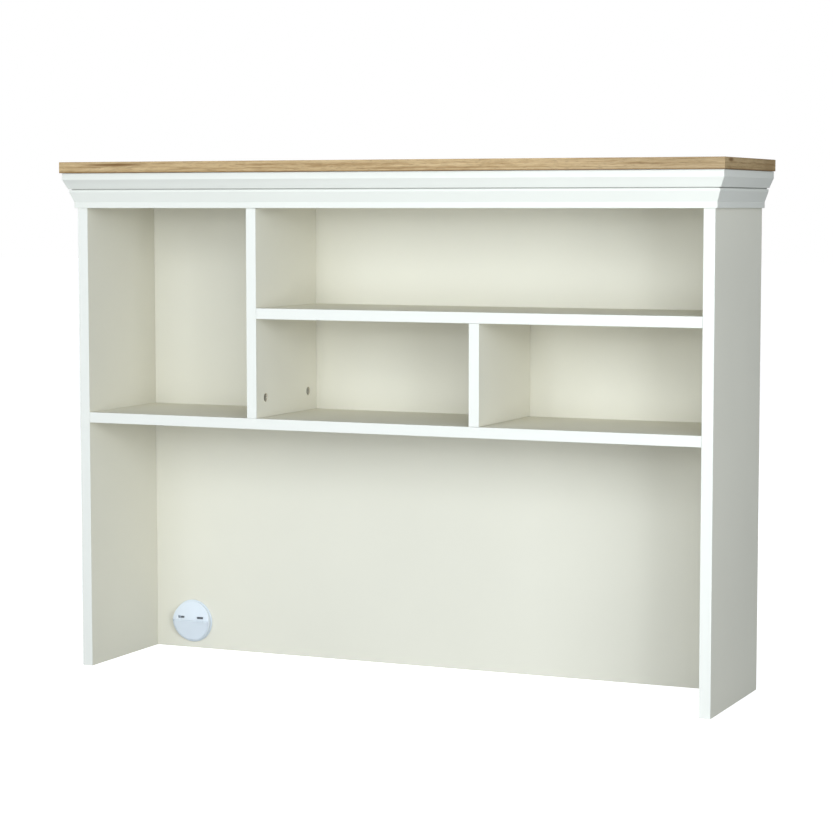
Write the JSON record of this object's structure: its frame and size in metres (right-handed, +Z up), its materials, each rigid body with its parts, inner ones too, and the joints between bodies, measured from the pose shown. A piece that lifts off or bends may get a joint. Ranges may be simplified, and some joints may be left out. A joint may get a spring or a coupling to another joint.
{
  "type": "desk hutch",
  "caption": "Open two-tone desk hutch: oak top, crown moulding, white shelf compartments above a clear desk space, and a hinged cable grommet in the back panel.",
  "frame": {"origin": "middle of the footprint, on the desk surface that the side panels stand on", "axes": "+X to the right seen from the front, +Y to the rear, +Z up; the open front faces -Y"},
  "size_m": [1.2, 0.29, 0.888],
  "materials": {
    "white_board": "satin white painted board",
    "oak_top": "satin light oak, grain along the width",
    "grommet_plastic": "satin pale bluish grey moulding",
    "steel_fittings": "zinc-plated cam locks, bolts, screws and hinge pin",
    "beech_dowels": "plain beech"
  },
  "bodies": {
    "hutch": {"back_panel": "white_board", "bolt_bottom_left_front": "steel_fittings", "bolt_bottom_left_rear": "steel_fittings", "bolt_bottom_right_front": "steel_fittings", "bolt_bottom_right_rear": "steel_fittings", "bolt_divider_front": "steel_fittings", "bolt_divider_rear": "steel_fittings", "bolt_inner_left_front": "steel_fittings", "bolt_inner_left_rear": "steel_fittings", "bolt_inner_right_front": "steel_fittings", "bolt_inner_right_rear": "steel_fittings", "bolt_upper_left_front": "steel_fittings", "bolt_upper_left_rear": "steel_fittings", "bolt_upper_right_front": "steel_fittings", "bolt_upper_right_rear": "steel_fittings", "bottom_shelf": "white_board", "cam_bottom_left_front": "steel_fittings", "cam_bottom_left_rear": "steel_fittings", "cam_bottom_right_front": "steel_fittings", "cam_bottom_right_rear": "steel_fittings", "cam_divider_front": "steel_fittings", "cam_divider_rear": "steel_fittings", "cam_inner_left_front": "steel_fittings", "cam_inner_left_rear": "steel_fittings", "cam_inner_right_front": "steel_fittings", "cam_inner_right_rear": "steel_fittings", "cam_upper_left_front": "steel_fittings", "cam_upper_left_rear": "steel_fittings", "cam_upper_right_front": "steel_fittings", "cam_upper_right_rear": "steel_fittings", "crown_front": "white_board", "crown_left": "white_board", "crown_right": "white_board", "dowel_rail_left": "beech_dowels", "dowel_rail_right": "beech_dowels", "dowel_short_foot_front": "beech_dowels", "dowel_short_foot_rear": "beech_dowels", "dowel_short_top_front": "beech_dowels", "dowel_short_top_rear": "beech_dowels", "dowel_tall_top_front": "beech_dowels", "dowel_tall_top_rear": "beech_dowels", "front_rail": "white_board", "grommet_cap": "grommet_plastic", "grommet_hinge_pin": "steel_fittings", "grommet_liner": "grommet_plastic", "short_divider": "white_board", "side_panel_left": "white_board", "side_panel_right": "white_board", "slab_screw_left_front": "steel_fittings", "slab_screw_left_rear": "steel_fittings", "slab_screw_right_front": "steel_fittings", "slab_screw_right_rear": "steel_fittings", "sub_top_panel": "white_board", "tall_divider": "white_board", "top_slab": "oak_top", "upper_shelf": "white_board"},
    "flap": {"grommet_flap": "grommet_plastic"}
  },
  "joints": [
    {"name": "flap_hinge", "type": "hinge", "parent": "hutch", "child": "flap", "pos_m": [-0.483, 0.10351, 0.0498], "axis": [-1, 0, 0], "range_deg": [0, 80]}
  ]
}
